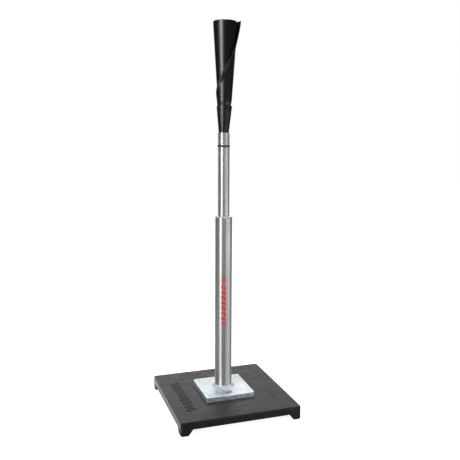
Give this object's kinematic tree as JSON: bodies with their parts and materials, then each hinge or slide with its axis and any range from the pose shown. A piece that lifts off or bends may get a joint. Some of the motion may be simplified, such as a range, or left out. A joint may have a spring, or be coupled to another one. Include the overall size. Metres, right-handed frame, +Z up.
{
  "type": "batting tee",
  "caption": "Height-adjustable batting tee: square base on corner feet, screwed-down steel plate, telescoping tube stem and a flexible rubber cone that holds the ball.",
  "frame": {"origin": "on the floor at the centre of the square base, under the stem axis", "axes": "+Z up along the stem; -Y is the front, with the base square to X and Y"},
  "size_m": [0.2666, 0.2666, 0.841],
  "materials": {
    "moulded_grey": "moulded, fine grain",
    "zinc_plate": "zinc plated, cloudy",
    "tube_steel": "drawn and polished",
    "screw_steel": "zinc plated",
    "nylon": "natural nylon",
    "ring_rubber": "smooth",
    "black_rubber": "sheet rubber, faint sheen"
  },
  "bodies": {
    "base": {"base_tray": "moulded_grey", "mounting_plate": "zinc_plate", "plate_screws": "screw_steel", "plate_washers": "screw_steel", "plate_nuts": "screw_steel", "weld_bead": "zinc_plate", "lower_tube": "tube_steel", "guide_bush": "nylon"},
    "piston": {"piston": "nylon", "piston_rings": "ring_rubber"},
    "upper_stem": {"end_plug": "tube_steel", "pivot_screw": "screw_steel", "pivot_washer": "screw_steel", "upper_tube": "tube_steel", "bumper_ring": "ring_rubber", "cone_cup": "black_rubber", "cone_root": "black_rubber"},
    "cone": {"cone": "black_rubber"}
  },
  "joints": [
    {"name": "height_slide", "type": "slide", "parent": "base", "child": "piston", "axis": [0, 0, 1], "range_m": [-0.1495, 0.18]},
    {"name": "top_spin", "type": "hinge", "parent": "piston", "child": "upper_stem", "pos_m": [0, 0, 0.208], "axis": [0, 0, 1], "continuous": true},
    {"name": "cone_flex", "type": "hinge", "parent": "upper_stem", "child": "cone", "pos_m": [0, 0, 0.673], "axis": [0, 1, 0], "range_deg": [-20, 20], "stiffness_Nm_per_rad": 4.5}
  ]
}
